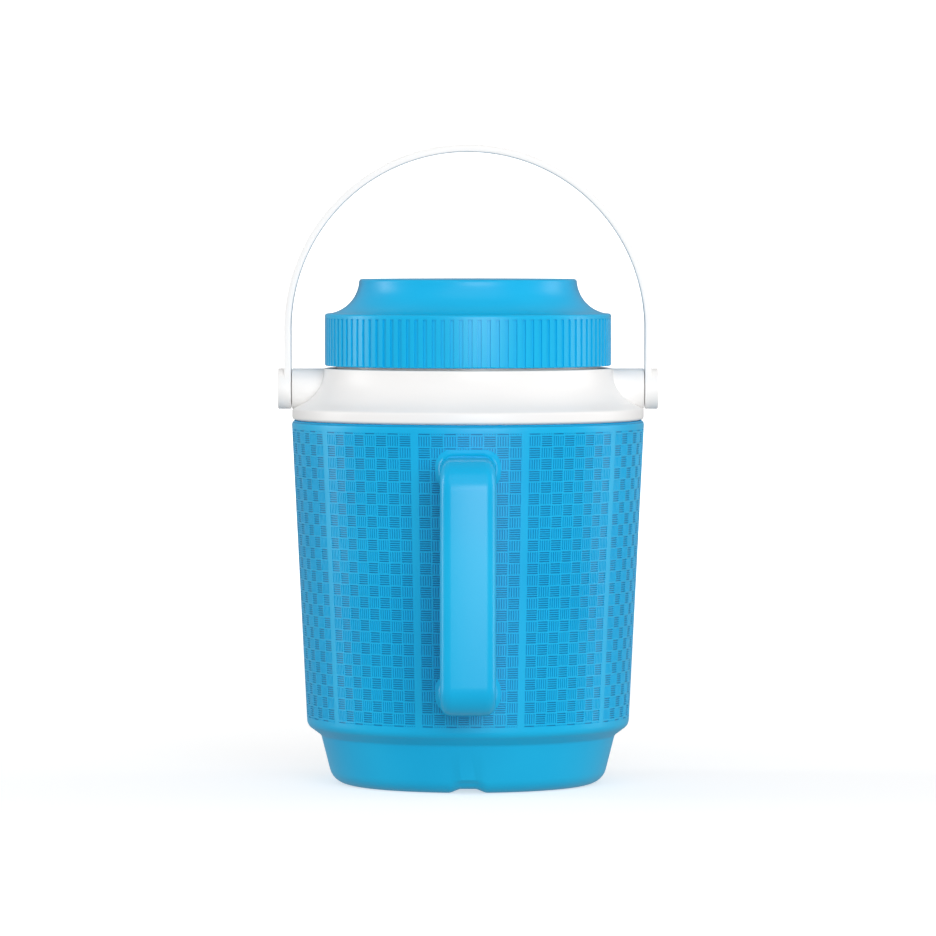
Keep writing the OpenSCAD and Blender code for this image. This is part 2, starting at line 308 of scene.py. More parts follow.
# %% Shader helpers
class Value:
    """A socket that can be used in a sum. Each operation adds one Math node."""

    def __init__(self, finish, socket):
        self.finish = finish
        self.socket = socket

    def combine(self, operation, first, second):
        """Adds the Math node of one operation."""
        return self.finish.node("ShaderNodeMath", {"operation": operation},
                                {0: first, 1: second})

    def __add__(self, other):
        return self.combine("ADD", self, other)

    def __radd__(self, other):
        return self.combine("ADD", other, self)

    def __sub__(self, other):
        return self.combine("SUBTRACT", self, other)

    def __rsub__(self, other):
        return self.combine("SUBTRACT", other, self)

    def __mul__(self, other):
        return self.combine("MULTIPLY", self, other)

    def __rmul__(self, other):
        return self.combine("MULTIPLY", other, self)

    def power(self, other):
        """This value raised to a power."""
        return self.combine("POWER", self, other)

    def ramp(self, begin, end):
        """0 below begin, 1 above end, and smooth between them."""
        return self.finish.node("ShaderNodeMapRange", {"interpolation_type": "SMOOTHSTEP"},
                                {"Value": self, "From Min": begin, "From Max": end})


class Finish:
    """A material under construction, ending in one Principled shader."""

    def __init__(self, name):
        self.material = bpy.data.materials.new(name)
        self.material.use_nodes = True
        self.tree = self.material.node_tree
        self.tree.nodes.clear()
        self.shader = self.tree.nodes.new("ShaderNodeBsdfPrincipled")
        output = self.tree.nodes.new("ShaderNodeOutputMaterial")
        self.tree.links.new(self.shader.outputs[0], output.inputs[0])

    def node(self, kind, settings, inputs, output=0):
        """Makes one node: its settings first, then the values or links of its sockets."""
        node = self.tree.nodes.new(kind)
        for key, value in settings.items():
            setattr(node, key, value)
        for key, value in inputs.items():
            self.put(node.inputs[key], value)
        return Value(self, node.outputs[output])

    def put(self, socket, value):
        """Links a Value to a socket, or sets the socket to a number or a colour."""
        if isinstance(value, Value):
            self.tree.links.new(value.socket, socket)
        elif socket.type == "RGBA":
            socket.default_value = (*value, 1)
        else:
            socket.default_value = value

    def set(self, **values):
        """Sets or links sockets of the Principled shader. An underscore stands for a space."""
        for key, value in values.items():
            self.put(self.shader.inputs[key.replace("_", " ")], value)

    def place(self):
        """The place of a point on the piece, in metres."""
        return self.node("ShaderNodeTexCoord", {}, {}, "Object")

    def noise(self, scale, detail=2.0):
        """Cloudy noise from 0 to 1, with features of about 1 / scale metres."""
        return self.node("ShaderNodeTexNoise", {},
                         {"Vector": self.place(), "Scale": scale, "Detail": detail})

    def blend(self, factor, first, second):
        """Goes from the first colour to the second as the factor goes from 0 to 1."""
        return self.node("ShaderNodeMix", {"data_type": "RGBA"},
                         {0: factor, 6: first, 7: second}, 2)

    def bump(self, height, distance, strength):
        """A normal from a height in units of the distance, which is in millimetres."""
        return self.node("ShaderNodeBump", {},
                         {"Strength": strength, "Distance": distance * MM, "Height": height})

    def split(self):
        """The x, y and z of a point on the piece."""
        node = self.tree.nodes.new("ShaderNodeSeparateXYZ")
        self.put(node.inputs[0], self.place())
        return [Value(self, socket) for socket in node.outputs]


def srgb(red, green, blue):
    """A colour as a paint program shows it (0 to 255), in the linear units of the shader."""
    return tuple((c / 255 / 12.92) if c < 11 else ((c / 255 + 0.055) / 1.055) ** 2.4
                 for c in (red, green, blue))


print("finish helpers ready")

# %% [markdown]
# ## The blue plastic
#
# The shell, the lid and the side handle are moulded in one sky-blue plastic. It is satin: the
# mould's fine spark-eroded grain blurs reflections. Colour drifts by a percent or two where the
# melt flowed, and the foot's rim is scuffed where it slides over tables. Its gloss is weaker than
# glass, so the specular level is below its usual value.
#
# The grooves get painted shade: their floors and walls are darkened towards a deeper blue, on
# top of the shade that their own shape casts. A mask could be painted by hand, but the side of the
# shell is a plain cone, so how deep a point lies under it can be worked out from its place. The
# mask fades out again before the depth of the inner face of the wall.

# %% Blue finishes
SKY = srgb(4, 174, 226)
SKY_PALE = srgb(14, 180, 230)
# The deep blue is painted shade for the grooves, not a colour of the plastic.
SKY_GROOVE_SHADE = srgb(0, 126, 180)
SCUFFED = srgb(120, 190, 225)
SCUFF_Z = (0.4, 2.4)     # scuffs are full up to the first height and gone at the second
# Depths, heights and strength of the painted shade in the grooves.
GROOVE_SHADE_BEGIN = (0.28, 0.5)          # depths between which the tint of a groove comes in
GROOVE_SHADE_END = (0.7, 0.9)             # and between which it fades out
GROOVE_SHADE_Z = (34, 36)                 # it starts above the step
GROOVE_SHADE_AMOUNT = 0.85


def blue_plastic(name, rough, recess_shade=None):
    """Moulded blue plastic. The optional mask marks places that get painted shade, a deeper blue.
    """
    finish = Finish(name)
    cloud = finish.noise(14)
    grain = finish.noise(2600, 1)
    colour = finish.blend(cloud.ramp(0.3, 0.7), SKY, SKY_PALE)
    # Painted shade: the masked places are darkened towards the deep blue.
    if recess_shade:
        colour = finish.blend(recess_shade(finish), colour, SKY_GROOVE_SHADE)
    x, y, z = finish.split()
    near_floor = 1 - z.ramp(*(height * MM for height in SCUFF_Z))
    scratches = finish.noise(900, 3).ramp(0.52, 0.7) * near_floor
    colour = finish.blend(scratches * 0.5, colour, SCUFFED)
    finish.set(Base_Color=colour,
               Roughness=rough + (cloud - 0.5) * 0.06 + (grain - 0.5) * 0.05 + scratches * 0.2,
               Normal=finish.bump(grain, 0.03, 0.25),
               IOR=1.46, Specular_IOR_Level=0.34)
    return finish.material


def groove_shade_mask(finish):
    """A mask of painted shade in the grooves: points that lie a little under the shell's tapering
    side.
    """
    x, y, z = finish.split()
    radius = (x * x + y * y).power(0.5)
    side = (z - BODY_R_Z * MM) * BODY_DRAFT + BODY_R * MM
    above_step = z.ramp(*(height * MM for height in GROOVE_SHADE_Z))
    depth = side - radius
    deep = depth.ramp(*(limit * MM for limit in GROOVE_SHADE_BEGIN))
    too_deep = depth.ramp(*(limit * MM for limit in GROOVE_SHADE_END))
    return deep * (1 - too_deep) * above_step * GROOVE_SHADE_AMOUNT


shell_blue = blue_plastic("blue_shell_plastic", 0.38, groove_shade_mask)
handle_blue = blue_plastic("blue_handle_plastic", 0.3)
lid_blue = blue_plastic("blue_lid_plastic", 0.34)
print("blue finishes made")

# %% [markdown]
# ## The white plastics and the hidden materials
#
# The collar, the strap and the vessel are white plastics of slightly different polish, so one
# function with a tint and a roughness makes them all. Foam, steel and silicone are hidden at
# rest, but they show when the lid is off or the jug is cut. Each has a short function.

# %% White and hidden finishes
def white_plastic(name, tint, rough, grain_size=2200):
    """Moulded white plastic with a fine grain and a faint drift of tone."""
    finish = Finish(name)
    cloud = finish.noise(11)
    grain = finish.noise(grain_size, 1)
    shade = tuple(c * 0.965 for c in tint)
    finish.set(Base_Color=finish.blend(cloud.ramp(0.3, 0.7), shade, tint),
               Roughness=rough + (cloud - 0.5) * 0.08 + (grain - 0.5) * 0.05,
               Normal=finish.bump(grain, 0.025, 0.25),
               IOR=1.48, Specular_IOR_Level=0.36)
    return finish.material


def poured_foam():
    """Rigid foam: cells of about a third of a millimetre, darker skin between pale bubbles."""
    finish = Finish("poured_foam")
    cells = finish.node("ShaderNodeTexVoronoi", {}, {"Vector": finish.place(), "Scale": 1400})
    stain = finish.noise(40, 3)
    colour = finish.blend(cells.ramp(0.1, 0.7), srgb(246, 232, 190), srgb(222, 198, 140))
    finish.set(Base_Color=finish.blend(stain.ramp(0.55, 0.8) * 0.4, colour, srgb(210, 176, 112)),
               Roughness=0.82 + (stain - 0.5) * 0.1,
               Normal=finish.bump(cells, 0.15, 0.7))
    return finish.material


def zinc_steel():
    """Bright zinc plating with the fine turned lines of a screw."""
    finish = Finish("zinc_plated_steel")
    mottle = finish.noise(900, 3)
    finish.set(Base_Color=finish.blend(mottle.ramp(0.35, 0.7), srgb(186, 188, 190),
                                       srgb(214, 212, 204)),
               Metallic=1.0, Roughness=0.28 + (mottle - 0.5) * 0.2,
               Normal=finish.bump(mottle, 0.02, 0.3))
    return finish.material


def silicone():
    """Soft milky rubber, slightly dusty."""
    finish = Finish("milky_silicone")
    dust = finish.noise(700, 3)
    finish.set(Base_Color=finish.blend(dust.ramp(0.5, 0.8), srgb(226, 228, 224),
                                       srgb(206, 206, 198)),
               Roughness=0.5 + (dust - 0.5) * 0.2,
               Normal=finish.bump(dust, 0.02, 0.2), Specular_IOR_Level=0.4)
    return finish.material


collar_white = white_plastic("white_collar_plastic", srgb(245, 244, 243), 0.36)
strap_white = white_plastic("white_strap_plastic", srgb(246, 245, 244), 0.34)
vessel_white = white_plastic("white_vessel_plastic", srgb(238, 239, 238), 0.26, 3200)
pin_white = white_plastic("white_pin_plastic", srgb(230, 230, 228), 0.3)
foam_tan = poured_foam()
screw_steel = zinc_steel()
seal_milky = silicone()

CAD_FINISHES = {
    "handle_screws": screw_steel, "fill_plug": lid_blue, "foam_jacket": foam_tan,
    "inner_vessel": vessel_white, "pivot_pin_left": pin_white, "pivot_pin_right": pin_white,
    "lid_liner": vessel_white, "lid_foam": foam_tan, "lid_seal": seal_milky,
}
for node, material in CAD_FINISHES.items():
    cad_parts[node].data.materials.clear()
    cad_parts[node].data.materials.append(material)
print("finishes of kept nodes:", len(CAD_FINISHES))

# %% [markdown]
# ## One square of the weave
#
# The shell is covered with small squares, each with five short grooves. In one kind the grooves
# stand upright and in the other they lie flat, and the two alternate like a basket weave. An
# image could fake this, but the grooves catch the light from every side, so they are real
# geometry: a plane is inset to leave the plain margin, cut with bisect, and each groove is
# inset again and pushed in. The squares are made flat and wrapped round the jug afterwards.

# %% Model the squares, flat
PANELS = 10                       # the weave repeats in ten panels with plain bands between
ACROSS = 8                        # squares across a panel
ROWS = 25
CELL_TURN = 4.23                  # degrees that one square takes up, with its margins
BAND_TURN = 360 / PANELS - ACROSS * CELL_TURN
PER_DEGREE = 1.588                # flat millimetres per degree, at the mean radius
CELL_W = CELL_TURN * PER_DEGREE
BAND_W = BAND_TURN * PER_DEGREE
ROW_H = 6.131
WEAVE_TOP = 190.685               # upper edge of the first full row
MARGIN = 0.405                    # plain edge of a square
LINES = 5                         # grooves in a square
LINE_W = 0.62
FLAT_DEPTH = 0.55                 # the lying grooves are the deeper ones
UPRIGHT_DEPTH = 0.4
GROOVE_SLOPE = 0.1                # how far a groove's sides lean
PART_ROW = 2 * MARGIN + LINE_W    # a sliver of one more row above and below


def square(name, height, upright):
    """One flat square of the weave, with grooves along Y if upright, else along X."""
    clear_selection()
    bpy.ops.mesh.primitive_plane_add(size=1)
    cell = start(name)
    bpy.ops.transform.resize(value=(CELL_W * MM, height * MM, 1))
    bpy.ops.transform.translate(value=(CELL_W * MM / 2, -height * MM / 2, 0))
    bpy.ops.mesh.select_mode(type="FACE")
    bpy.ops.mesh.inset(thickness=MARGIN * MM)
    axis = 0 if upright else 1
    length = (CELL_W if upright else height) - 2 * MARGIN
    first = MARGIN if upright else MARGIN - height
    pitch = (length - LINE_W) / (LINES - 1)
    lines = LINES if pitch > LINE_W else 1

    def inner(face):
        """A face inside the plain edge."""
        at = middle(face)
        return MARGIN < at.x < CELL_W - MARGIN and MARGIN - height < at.y < -MARGIN

    normal = [1 - axis, axis, 0]
    edges = [first + number * pitch + side for number in range(lines) for side in (0, LINE_W)]
    for edge in edges[1:-1]:
        pick(cell, "FACE", inner)
        bpy.ops.mesh.bisect(plane_co=[n * edge * MM for n in normal], plane_no=normal)

    def groove(face):
        """A strip between two cuts that becomes a groove."""
        offset = (middle(face)[axis] - first) % pitch if lines > 1 else 0
        return inner(face) and offset < LINE_W

    deep = UPRIGHT_DEPTH if upright else FLAT_DEPTH
    pick(cell, "FACE", groove)
    bpy.ops.mesh.inset(thickness=GROOVE_SLOPE * MM, depth=-deep * MM, use_individual=True)
    bpy.ops.object.mode_set(mode="OBJECT")
    return cell


upright = square("upright_square", ROW_H, True)
flat = square("flat_square", ROW_H, False)
dots = square("row_of_dots", PART_ROW, True)
dash = square("one_dash", PART_ROW, False)
print("faces of the squares:", [len(o.data.polygons) for o in (upright, flat, dots, dash)])

# %% [markdown]
# ## One panel, then the whole weave
#
# Two squares make a pair, two pairs a tile, and Array modifiers repeat the tile. A plain band
# closes the panel on its right, with a point at the end of each row so that it joins without
# gaps. Ten panels in a line are the whole weave, rolled out flat.

# %% Lay the squares out
def laid(cells, y, count):
    """A row that repeats a pair of squares, with its upper edge at y."""
    row = [copy_of(cell, (number * CELL_W, y, 0)) for number, cell in enumerate(cells)]
    row = join("row", row)
    apply_modifier(row, "ARRAY", count=count, use_relative_offset=False,
                   use_constant_offset=True, constant_offset_displace=(2 * CELL_W * MM, 0, 0))
    return row


def plain(y, height):
    """The piece of the plain band beside one row."""
    clear_selection()
    bpy.ops.mesh.primitive_plane_add(size=1)
    cell = start("plain_band")
    bpy.ops.transform.resize(value=(BAND_W * MM, height * MM, 1))
    middle_x = ACROSS * CELL_W + BAND_W / 2
    bpy.ops.transform.translate(value=(middle_x * MM, (y - height / 2) * MM, 0))
    bpy.ops.object.mode_set(mode="OBJECT")
    return cell


pairs = ACROSS // 2
tile = join("tile", [laid((upright, flat), 0, pairs), laid((flat, upright), -ROW_H, pairs),
                     plain(0, ROW_H), plain(-ROW_H, ROW_H)])
apply_modifier(tile, "ARRAY", count=ROWS // 2, use_relative_offset=False,
               use_constant_offset=True, constant_offset_displace=(0, -2 * ROW_H * MM, 0))
last_y = -(ROWS - 1) * ROW_H
end_y = -ROWS * ROW_H
weave = join("weave", [tile, laid((upright, flat), last_y, pairs), plain(last_y, ROW_H),
                       laid((dash, dots), PART_ROW, pairs), plain(PART_ROW, PART_ROW),
                       laid((dash, dots), end_y, pairs), plain(end_y, PART_ROW)])
for cell in (upright, flat, dots, dash):
    bpy.data.objects.remove(cell)
apply_modifier(weave, "ARRAY", count=PANELS, use_relative_offset=False,
               use_constant_offset=True,
               constant_offset_displace=((ACROSS * CELL_W + BAND_W) * MM, 0, 0))
print("weave laid out:", len(weave.data.polygons), "faces")

# %% [markdown]
# ## Wrapping the weave round the jug
#
# Rolling the flat sheet up is a rule for each point: its x becomes an angle, its y a height, and
# its depth is taken off the radius of the tapering shell. Within one square the points stay on
# a flat facet, so that the grooves don't twist and the thin margins keep an even light. A Simple
# Deform modifier could bend the sheet too, but it knows nothing of the squares or of the taper.

# %% Wrap the weave
COLUMNS = [panel_number * 360 / PANELS + column * CELL_TURN
           for panel_number in range(PANELS) for column in range(ACROSS + 1)]
WEAVE_TURN = 0.65                 # degrees that the weave is turned to the right
FIRST_ANGLE = -90 + WEAVE_TURN - ACROSS * CELL_TURN / 2
NUDGE = 1e-4                      # puts a point on an edge into the column to its right


def column_edges(x):
    """The angles, in degrees, of the two edges of the column that holds a flat x."""
    panel_w = ACROSS * CELL_W + BAND_W
    panel_number = min(int((x + NUDGE) / panel_w), PANELS - 1)
    rest = x - panel_number * panel_w
    column = min(int((rest + NUDGE) / CELL_W), ACROSS)
    left = panel_number * 360 / PANELS + column * CELL_TURN
    return left, left + (BAND_TURN if column == ACROSS else CELL_TURN)


def wrap(mesh):
    """Rolls the flat weave round the shell."""
    for point in mesh.vertices:
        x, y, depth = point.co / MM
        left, right = column_edges(x)
        begin, end = (math.radians(FIRST_ANGLE + angle) for angle in (left, right))
        z = WEAVE_TOP + y
        radius = shell_r(z)
        share = (x / PER_DEGREE - left) / (right - left)
        a = Vector((math.cos(begin), math.sin(begin))) * radius
        b = Vector((math.cos(end), math.sin(end))) * radius
        out = Vector((math.cos((begin + end) / 2), math.sin((begin + end) / 2)))
        flat_point = a.lerp(b, share) + out * depth
        point.co = Vector((flat_point.x, flat_point.y, z)) * MM


wrap(weave.data)
print("weave wrapped from", round(WEAVE_TOP + end_y - PART_ROW, 1), "to",
      round(WEAVE_TOP + PART_ROW, 1), "mm")

# %% [markdown]
# ## The rest of the shell
#
# Below the weave the shell steps in to the foot and curls under, and inside it rises again as a
# wall two millimetres thick. A ring of points with the same spacing as the columns of the weave
# is extruded and resized again and again, following the half outline, until it comes back to
# the top of the weave. The ring and the weave then share their points, and the shell is closed.

# %% Extrude the rest of the shell
WALL = 2.0
FLOOR = 5.0
SIDE_END_Z = 31.7                 # where the side turns in to the step
STEP_R = 79.5
STEP_Z = 26.2
FOOT_R = 72.8
RECESS_R = 54.0                   # hollow under the base
RECESS_H = 2.6
PLUG_R = 10.1                     # hole for the plug in the middle of the base
INNER_FOOT_R = 72.0
INNER_STEP_R = 77.5
INNER_STEP_Z = 27.0
INNER_SIDE_Z = 32.5


def shell_outline():
    """The half outline from the lower edge of the weave, round the foot and inside, to its top."""
    bottom = WEAVE_TOP + end_y - PART_ROW
    top = WEAVE_TOP + PART_ROW
    return rounded([
        (shell_r(bottom), bottom), (shell_r(SIDE_END_Z), SIDE_END_Z, 5), (STEP_R, STEP_Z, 3),
        (FOOT_R, 0, 10), (RECESS_R, 0, 0.8), (RECESS_R, RECESS_H, 0.6), (PLUG_R, RECESS_H),
        (PLUG_R, FLOOR), (INNER_FOOT_R, FLOOR, 6), (INNER_STEP_R, INNER_STEP_Z, 3),
        (shell_r(INNER_SIDE_Z) - WALL, INNER_SIDE_Z, 4),
        (shell_r(BODY_TOP) - WALL, BODY_TOP, 0.6), (shell_r(BODY_TOP), BODY_TOP, 2.4),
        (shell_r(top), top)], 7)


def ring_of_columns(name, radius, z):
    """A ring with one point at each column edge of the weave."""
    clear_selection()
    bpy.ops.mesh.primitive_circle_add(vertices=len(COLUMNS), radius=radius * MM)
    ring = start(name)
    bpy.ops.object.mode_set(mode="OBJECT")
    for point, angle in zip(ring.data.vertices, COLUMNS):
        turn = math.radians(FIRST_ANGLE + angle)
        point.co = Vector((radius * math.cos(turn), radius * math.sin(turn), z)) * MM
    bpy.ops.object.mode_set(mode="EDIT")
    bpy.ops.mesh.select_all(action="SELECT")
    return ring


outline = shell_outline()
rings = ring_of_columns("shell_rings", outline[0].x, outline[0].y)
for before, after in zip(outline, outline[1:]):
    bpy.ops.mesh.extrude_region_move(
        TRANSFORM_OT_translate={"value": (0, 0, (after.y - before.y) * MM)})
    ratio = after.x / before.x
    bpy.ops.transform.resize(value=(ratio, ratio, 1), center_override=(0, 0, 0))
bpy.ops.object.mode_set(mode="OBJECT")
print("rings of the shell:", len(outline))

# %% [markdown]
# ## The notches in the foot
#
# Two shallow notches interrupt the foot's edge, one under the side handle and one opposite.
# They give the fingers a hold when the jug is tipped to pour. A Boolean could cut them, but its
# edges would be sharp, and these are soft. So the shell is closed first, which makes its normals
# point outwards, and the foot is subdivided where the columns are too coarse for a soft end. The
# points are then pushed in against their normals by a smooth rule: full depth in the middle,
# and fading to nothing at the ends and up the rounding.

# %% Close the shell and notch its foot
NOTCH_HALF = 10.5                 # half its length
NOTCH_FLAT = 3.2                  # half of the stretch of full depth
NOTCH_DEPTH = 2.2
NOTCH_FADE_Z = 3.5                # full depth up to this height
NOTCH_RISE = 10.0                 # and none above this one

shell = join("jug_shell", [weave, rings])
close_up(shell)


def smooth(share):
    """0 at 0, 1 at 1, with a soft start and end."""
    share = min(max(share, 0), 1)
    return share * share * (3 - 2 * share)


def in_notch_zone(face):
    """An outer face of the foot near the Y axis."""
    at = middle(face)
    return at.z < NOTCH_RISE + 1 and abs(at.x) < NOTCH_HALF + 2 \
        and math.hypot(at.x, at.y) > RECESS_R - 1 and face.normal.z < 0.2


activate(shell)
bpy.ops.object.mode_set(mode="EDIT")
pick(shell, "FACE", in_notch_zone)
bpy.ops.mesh.subdivide(number_cuts=3)
bpy.ops.object.mode_set(mode="OBJECT")
pushes = []
for point in shell.data.vertices:
    x, y, z = point.co / MM
    radius = math.hypot(x, y)
    if z > NOTCH_RISE or abs(x) > NOTCH_HALF or radius < RECESS_R - 0.3 or point.normal.z > 0.3:
        continue
    across = smooth((NOTCH_HALF - abs(x)) / (NOTCH_HALF - NOTCH_FLAT))
    up = smooth((NOTCH_RISE - z) / (NOTCH_RISE - NOTCH_FADE_Z))
    inward = Vector((-x / radius, -y / radius, 0)) * point.normal.xy.length
    push = (inward + Vector((0, 0, max(0, -point.normal.z)))) * NOTCH_DEPTH * across * up
    pushes.append((point, push))
for point, push in pushes:
    point.co += push * MM
print("points moved for the notches:", len(pushes))
settle(shell, "jug", "blue_shell", shell_blue, "outer_shell", angle=28)

# %% [markdown]
# ## The side handle
#
# The grip is a C of even width, 29 mm wide, whose long edges are rounded until only a narrow
# flat is left on each face. It is drawn as a closed outline seen from the side, filled and
# extruded across its width. A bevel would crowd in the inner bends, so each side is inset in
# small steps that follow a quarter circle, which rounds the edges evenly round every bend. A
# slanted cut ends it in the shell.

# %% Model the grip
SIDE_W = 29.2
SIDE_T = 15.0
SIDE_ROUND = 6.0                  # rounding of the long edges
SIDE_BEND = 16.0                  # outer and inner bends of the C
SIDE_INNER = 8.0
ROUND_STEPS = 8
GRIP_LOW = 45.6
GRIP_HIGH = 179.4
SPARE = 8.0                       # extra length inside the shell, which is cut off
BURIED = 1.8                      # how far the ends reach into the shell

high_root = -shell_r(GRIP_HIGH) + SPARE
low_root = -shell_r(GRIP_LOW) + SPARE
side_view = rounded([
    (low_root, GRIP_LOW), (-SIDE_REACH, GRIP_LOW, SIDE_BEND),
    (-SIDE_REACH, GRIP_HIGH, SIDE_BEND), (high_root, GRIP_HIGH),
    (high_root, GRIP_HIGH - SIDE_T), (-SIDE_REACH + SIDE_T, GRIP_HIGH - SIDE_T, SIDE_INNER),
    (-SIDE_REACH + SIDE_T, GRIP_LOW + SIDE_T, SIDE_INNER), (low_root, GRIP_LOW + SIDE_T)],
    12)

clear_selection()
bpy.ops.mesh.primitive_plane_add(size=MM)
grip = start("side_grip")
bpy.ops.mesh.merge(type="CENTER")
core_w = SIDE_W - 2 * SIDE_ROUND
bpy.ops.transform.translate(value=(-core_w / 2 * MM, side_view[0].x * MM, side_view[0].y * MM))
for before, after in zip(side_view, side_view[1:]):
    step = (after - before) * MM
    bpy.ops.mesh.extrude_vertices_move(TRANSFORM_OT_translate={"value": (0, step.x, step.y)})
bpy.ops.mesh.select_all(action="SELECT")
bpy.ops.mesh.edge_face_add()
bpy.ops.mesh.extrude_region_move(TRANSFORM_OT_translate={"value": (core_w * MM, 0, 0)})
bpy.ops.mesh.select_all(action="SELECT")
bpy.ops.mesh.normals_make_consistent(inside=False)
for side in (-1, 1):
    pick(grip, "FACE", lambda face: face.normal.x * side > 0.9)
    for number in range(ROUND_STEPS):
        here = math.pi / 2 * number / ROUND_STEPS
        there = math.pi / 2 * (number + 1) / ROUND_STEPS
        bpy.ops.mesh.inset(
            thickness=SIDE_ROUND * (math.cos(here) - math.cos(there)) * MM,
            depth=SIDE_ROUND * (math.sin(there) - math.sin(here)) * MM)
bpy.ops.mesh.select_all(action="SELECT")
bpy.ops.mesh.bisect(plane_co=(0, (-BODY_R + BURIED) * MM, BODY_R_Z * MM),
                    plane_no=(0, 1, BODY_DRAFT), clear_outer=True, use_fill=True)
bpy.ops.object.mode_set(mode="OBJECT")
close_up(grip)
print("grip reaches", round(min(v.co.y for v in grip.data.vertices) / MM, 2), "mm")

# %% [markdown]
# ## The flared roots
#
# Where the grip meets the shell, a flare spreads round it like the foot of a tree and ends in a
# thin plain lip that interrupts the weave. A rounded rectangle is extruded outwards in steps
# and made smaller each time, and its points are set on the curve of the shell. The grip passes
# through it, and a crease shows where the two meet, as on the moulding. A union with a bevelled
# seam would look alike, but a bevel breaks where a seam runs round so tight a corner.

# %% Model the flares
ROOT_W = 34.6
ROOT_H = 21.0
ROOT_ROUND = 8.5
LOW_ROOT_LIFT = 1.6               # the flares sit a little above the middle of the grip's ends
HIGH_ROOT_LIFT = 1.0
FLARE = [(-1.5, 0.0), (0.3, 0.0), (0.5, -0.25), (0.72, -0.9), (1.15, -1.75), (1.9, -2.5),
         (3.0, -3.0), (4.2, -3.25)]          # (height above the shell, growth all round)


def hug(vertex, lift):
    """Moves a point along Y until it lies at a height above the shell's side."""
    x, y, z = vertex.co / MM
    vertex.co.y = -(math.sqrt(shell_r(z) ** 2 - x * x) + lift) * MM


def flare(middle_z):
    """The spreading root round one end of the grip."""
    clear_selection()
    bpy.ops.mesh.primitive_plane_add(size=1, rotation=(math.pi / 2, 0, 0))
    bpy.ops.object.transform_apply(location=True, rotation=True, scale=True)
    root = start("root_flare")
    bpy.ops.transform.resize(value=(ROOT_W * MM, 1, ROOT_H * MM))
    bpy.ops.transform.translate(value=(0, -shell_r(middle_z) * MM, middle_z * MM))
    bpy.ops.mesh.bevel(offset=ROOT_ROUND * MM, segments=10, affect="VERTICES")
    bpy.ops.mesh.select_all(action="SELECT")
    size = 0.0
    for number, (lift, growth) in enumerate(FLARE):
        if number:
            bpy.ops.mesh.extrude_region_move(TRANSFORM_OT_translate={"value": (0, -MM, 0)})
        width = (ROOT_W + 2 * growth) / (ROOT_W + 2 * size)
        height = (ROOT_H + 2 * growth) / (ROOT_H + 2 * size)
        bpy.ops.transform.resize(value=(width, 1, height), center_override=(0, 0, middle_z * MM))
        size = growth
        for vertex in bmesh.from_edit_mesh(root.data).verts:
            if vertex.select:
                hug(vertex, lift)
    bpy.ops.object.mode_set(mode="OBJECT")
    return root


roots = [flare(z) for z in (GRIP_LOW + SIDE_T / 2 + LOW_ROOT_LIFT,
                            GRIP_HIGH - SIDE_T / 2 + HIGH_ROOT_LIFT)]
for root in roots:
    close_up(root)
grip = join("side_grip", [grip] + roots)
settle(grip, "jug", "blue_handle", handle_blue, "side_handle", angle=40)

# %% [markdown]
# ## The collar
#
# The collar is turned: a flat top, a flank that is hollow like a saucer's, and an upright band
# that matches the shell. Two solid bosses for the pins grow out of the flank, flush with the
# top. They are plain cylinders joined on by a union, because that gives the true curve where a
# round bar meets a hollow flank.

# %% Model the collar
COVE_R = 21.8                     # the hollow of the flank
COVE_ANGLES = (182.2, 246)
BAND_LOW = 196.7
BAND_HIGH = 202.5
FLANK_R = 78.1                    # where the flat top ends
NECK_HOLE = 71.7
TOP_T = 2.4                       # thickness of the flat top
SPIGOT_LOW = 188.4                # the ring that sits inside the shell
SPIGOT_R = 92.4
SPIGOT_T = 2
UNDERSIDE = [(SPIGOT_R - SPIGOT_T, 200), (76.2, 218), (75.6, COLLAR_TOP - TOP_T)]
BOSS_FACE = 95.0
BOSS_ROOT = 77.0                  # inner end of a boss, hidden in the flank
BOSS_GAP = 0.02                   # a boss is a hair smaller than a hub

flank = arc((FLANK_R + COVE_R, COLLAR_TOP), COVE_R, *COVE_ANGLES, 26)
collar_outline = rounded(
    [(NECK_HOLE, COLLAR_TOP - TOP_T), (NECK_HOLE, COLLAR_TOP, 0.5), (FLANK_R, COLLAR_TOP, 0.7)]
    + flank
    + [(COLLAR_R, BAND_HIGH, 1.5), (COLLAR_R, BAND_LOW, 1.4), (SPIGOT_R, BAND_LOW),
       (SPIGOT_R, SPIGOT_LOW, 0.6), (SPIGOT_R - SPIGOT_T, SPIGOT_LOW, 0.6)]
    + UNDERSIDE + [(NECK_HOLE, COLLAR_TOP - TOP_T)], 6)
collar = turned("jug_collar", collar_outline, 240)


def boss(side):
    """A round boss with a softened outer edge, lying along X."""
    clear_selection()
    bpy.ops.mesh.primitive_cylinder_add(
        vertices=128, radius=(HUB_R - BOSS_GAP) * MM, depth=(BOSS_FACE - BOSS_ROOT) * MM,
        location=(side * (BOSS_FACE + BOSS_ROOT) / 2 * MM, 0, PIVOT_Z * MM),
        rotation=(0, math.pi / 2, 0))
    bpy.ops.object.transform_apply(location=True, rotation=True, scale=True)
    bar = start("boss")
    pick(bar, "EDGE", lambda edge: all(abs(v.co.x) > (BOSS_FACE - 0.1) * MM for v in edge.verts))
    bpy.ops.mesh.bevel(offset=0.5 * MM, segments=3, affect="EDGES")
    bpy.ops.object.mode_set(mode="OBJECT")
    return bar


for side in (-1, 1):
    bar = boss(side)
    apply_modifier(collar, "BOOLEAN", operation="UNION", solver="EXACT", object=bar)
    bpy.data.objects.remove(bar)
close_up(collar, 0.0005)
settle(collar, "jug", "white_collar", collar_white, "collar")

# %% [markdown]
# ## The carry handle
#
# The strap is one flat bar bent into an arch. A plane the size of its section is rounded at the
# corners, extruded up the first leg, spun through half a turn, and extruded down the second
# leg. A curve with a bevel object would give the same bar, but this way each face stays where
# the next step can find it.

